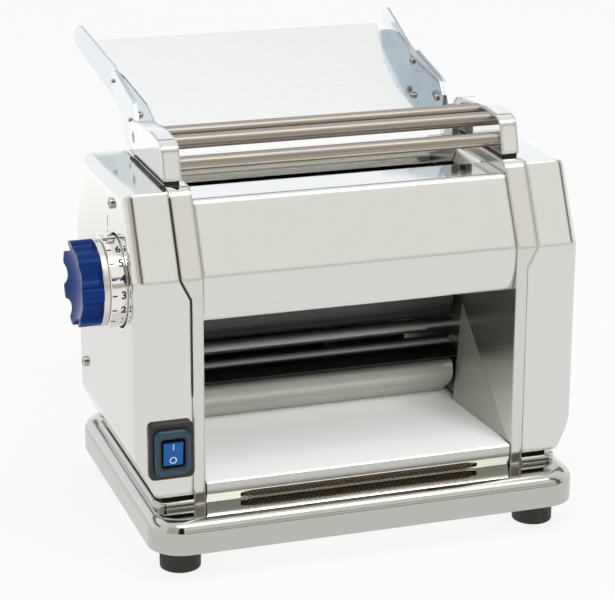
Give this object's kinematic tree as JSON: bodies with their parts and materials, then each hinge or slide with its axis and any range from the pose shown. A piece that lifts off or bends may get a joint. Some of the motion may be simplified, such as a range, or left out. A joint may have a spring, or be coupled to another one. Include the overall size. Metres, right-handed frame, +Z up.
{
  "type": "electric pasta maker",
  "caption": "Free-standing electric dough sheeter: polished side housings, two rollers under a hinged rod guard, rear feed tray, front exit chute and a blue thickness knob.",
  "frame": {"origin": "middle of the overall footprint, on the plane the feet stand on", "axes": "+X to the machine's right as seen from the front, +Y to the back (feed tray), +Z up"},
  "size_m": [0.3474, 0.3292, 0.3143],
  "materials": {
    "chrome_cover": "mirror-polished chromed steel",
    "chrome_frame": "mirror-polished chromed steel",
    "chrome_base": "mirror-polished chromed steel",
    "sheet_steel": "fine satin stainless sheet",
    "satin_rod": "lengthwise brushed rod",
    "roller_steel": "ground and chromed",
    "gear_steel": "machined steel",
    "black_steel": "black oxide",
    "motor_paint": "dark enamel",
    "bronze": "sintered bronze",
    "screw_steel": "nickel-plated",
    "rubber_black": "matt",
    "knob_blue": "glossy moulded",
    "dial_ivory": "printed dial",
    "collar_satin": "turned ring",
    "switch_dark": "moulded",
    "boot_clear": "clear soft cover over blue",
    "rocker_blue": "glossy moulded",
    "plastic_black": "moulded",
    "plastic_pale": "moulded",
    "inner_dark": "black recess"
  },
  "bodies": {
    "body": {"base_pan": "chrome_base", "bottom_cover": "sheet_steel", "rubber_feet": "rubber_black", "foot_screws": "screw_steel", "frame_bolts": "screw_steel", "housing_foot_plates": "chrome_base", "housing_plinths": "inner_dark", "left_frame": "chrome_frame", "right_frame": "chrome_frame", "left_housing": "chrome_cover", "right_housing": "chrome_cover", "housing_screws": "screw_steel", "housing_posts": "gear_steel", "front_drum_cover": "chrome_cover", "rear_drum_cover": "chrome_cover", "cover_brackets": "gear_steel", "rear_panel": "sheet_steel", "power_inlet": "plastic_black", "chute_floor": "chrome_frame", "vent_grille": "sheet_steel", "chute_cheeks": "chrome_frame", "exit_deflector": "chrome_frame", "exit_shelf": "inner_dark", "tie_rods": "black_steel", "rear_bushes": "bronze", "rear_scraper": "gear_steel", "feed_guides": "sheet_steel", "motor_body": "motor_paint", "adjuster_bearing": "gear_steel", "guard_pivots": "gear_steel", "guard_gaskets": "rubber_black", "guard_switch": "plastic_black", "tray_sheet": "sheet_steel", "left_tray_wing": "sheet_steel", "right_tray_wing": "sheet_steel", "left_tray_bracket": "sheet_steel", "right_tray_bracket": "sheet_steel", "tray_screws": "screw_steel", "switch_bezel": "switch_dark", "switch_boot": "boot_clear", "switch_body": "plastic_black", "capacitor": "plastic_pale"},
    "drive_roller": {"rear_roller": "roller_steel", "rear_roller_gear": "gear_steel", "drive_gear": "gear_steel"},
    "front_carriage": {"carriage_blocks": "gear_steel", "front_bushes": "bronze", "front_scraper": "gear_steel"},
    "adjusted_roller": {"front_roller": "roller_steel", "front_roller_gear": "gear_steel"},
    "motor_rotor": {"motor_pinion_shaft": "gear_steel"},
    "adjuster": {"thickness_knob": "knob_blue", "knob_collar": "collar_satin", "dial_drum": "dial_ivory", "adjuster_camshaft": "gear_steel"},
    "rocker": {"switch_rocker": "rocker_blue"},
    "guard": {"left_guard_cheek": "chrome_cover", "right_guard_cheek": "chrome_cover", "guard_rods": "satin_rod"},
    "plunger": {"guard_plunger": "plastic_pale"}
  },
  "joints": [
    {"name": "drive_roller_spin", "type": "hinge", "parent": "body", "child": "drive_roller", "pos_m": [0.01376, -0.02104, 0.205], "axis": [1, 0, 0], "continuous": true},
    {"name": "carriage_slide", "type": "slide", "parent": "body", "child": "front_carriage", "axis": [0, -1, 0], "range_m": [-0.00057, 0.00453]},
    {"name": "front_roller_spin", "type": "hinge", "parent": "front_carriage", "child": "adjusted_roller", "pos_m": [0.01376, -0.08224, 0.205], "axis": [1, 0, 0], "continuous": true},
    {"name": "motor_spin", "type": "hinge", "parent": "body", "child": "motor_rotor", "pos_m": [0.01376, -0.00964, 0.142], "axis": [1, 0, 0], "continuous": true},
    {"name": "knob_turn", "type": "hinge", "parent": "body", "child": "adjuster", "pos_m": [-0.14374, -0.09094, 0.191], "axis": [-1, 0, 0], "range_deg": [-20.3, 162.4]},
    {"name": "rocker_tilt", "type": "hinge", "parent": "body", "child": "rocker", "pos_m": [-0.12114, -0.13194, 0.085], "axis": [1, 0, 0], "range_deg": [-9, 0]},
    {"name": "guard_hinge", "type": "hinge", "parent": "body", "child": "guard", "pos_m": [0.01376, -0.01864, 0.2688], "axis": [-1, 0, 0], "range_deg": [0, 60]},
    {"name": "plunger_slide", "type": "slide", "parent": "body", "child": "plunger", "axis": [0, 0, 1], "range_m": [0, 0.0021]}
  ],
  "couplings": [
    {"joint": "front_roller_spin", "follows": "drive_roller_spin", "ratio": -1},
    {"joint": "motor_spin", "follows": "drive_roller_spin", "ratio": -2},
    {"joint": "knob_turn", "follows": "carriage_slide", "rad_per_m": 625},
    {"joint": "plunger_slide", "follows": "guard_hinge", "m_per_rad": 0.0019}
  ]
}
